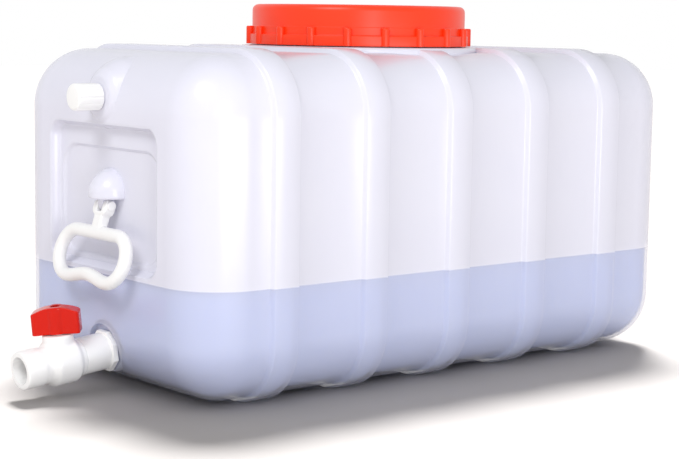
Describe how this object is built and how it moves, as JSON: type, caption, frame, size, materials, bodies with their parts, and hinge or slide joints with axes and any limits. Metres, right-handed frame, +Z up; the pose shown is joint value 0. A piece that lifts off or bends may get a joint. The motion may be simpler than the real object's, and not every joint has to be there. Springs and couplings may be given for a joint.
{
  "type": "portable water tank",
  "caption": "Oblong plastic water tank with raised bands, a wide screw lid over an inner lid, a capped vent, swinging end handles and a small ball valve.",
  "frame": {"origin": "on the floor under the middle of the body, on the underside of the middle raised band", "axes": "+X along the body away from the valve end, +Y across the body, +Z up"},
  "size_m": [0.7077, 0.327, 0.3545],
  "materials": {
    "tank_plastic": "translucent natural polyethylene, faintly glossy",
    "red_plastic": "satin orange-red moulding",
    "white_plastic": "satin white moulding",
    "valve_plastic": "smooth white PVC",
    "seat_plastic": "smooth white PTFE",
    "seal_rubber": "black food-grade rubber",
    "screw_steel": "stainless"
  },
  "bodies": {
    "tank": {"tank_shell": "tank_plastic", "outlet_seal": "seal_rubber", "valve_inlet_end": "valve_plastic", "inlet_o_ring": "seal_rubber", "valve_body": "valve_plastic", "inlet_seat": "seat_plastic", "outlet_seat": "seat_plastic"},
    "lid_gasket": {"lid_gasket": "seal_rubber"},
    "inner_lid": {"inner_lid": "white_plastic"},
    "lid": {"lid": "red_plastic"},
    "vent_seal": {"vent_seal": "seal_rubber"},
    "vent_cap": {"vent_cap": "white_plastic"},
    "front_handle": {"front_handle": "white_plastic", "front_handle_pin": "white_plastic"},
    "rear_handle": {"rear_handle": "white_plastic", "rear_handle_pin": "white_plastic"},
    "valve_handle": {"valve_ball": "valve_plastic", "valve_stem": "valve_plastic", "stem_o_rings": "seal_rubber", "valve_handle": "red_plastic", "handle_screw": "screw_steel"}
  },
  "joints": [
    {"name": "lid_lift_off", "type": "slide", "parent": "tank", "child": "lid_gasket", "axis": [0, 0, 1], "range_m": [0, 0.15]},
    {"name": "lid_rise", "type": "slide", "parent": "lid_gasket", "child": "inner_lid", "axis": [0, 0, 1], "range_m": [0, 0.012]},
    {"name": "lid_turn", "type": "hinge", "parent": "inner_lid", "child": "lid", "pos_m": [0, 0, 0.34], "axis": [0, 0, 1], "range_deg": [0, 540]},
    {"name": "vent_rise", "type": "slide", "parent": "tank", "child": "vent_seal", "axis": [-1, 0, 0], "range_m": [0, 0.0075]},
    {"name": "vent_turn", "type": "hinge", "parent": "vent_seal", "child": "vent_cap", "pos_m": [-0.32, 0, 0.2685], "axis": [-1, 0, 0], "range_deg": [0, 900]},
    {"name": "front_handle_swing", "type": "hinge", "parent": "tank", "child": "front_handle", "pos_m": [-0.296, 0, 0.1705], "axis": [0, 1, 0], "range_deg": [-6, 73]},
    {"name": "rear_handle_swing", "type": "hinge", "parent": "tank", "child": "rear_handle", "pos_m": [0.296, 0, 0.1705], "axis": [0, -1, 0], "range_deg": [-6, 73]},
    {"name": "valve_turn", "type": "hinge", "parent": "tank", "child": "valve_handle", "pos_m": [-0.34276, 0, 0.0325], "axis": [-0.1045, 0, 0.9945], "range_deg": [-51.5, 38.5]}
  ],
  "couplings": [
    {"joint": "lid_rise", "follows": "lid_turn", "m_per_rad": 0.0012732},
    {"joint": "vent_rise", "follows": "vent_turn", "m_per_rad": 0.00047746}
  ]
}
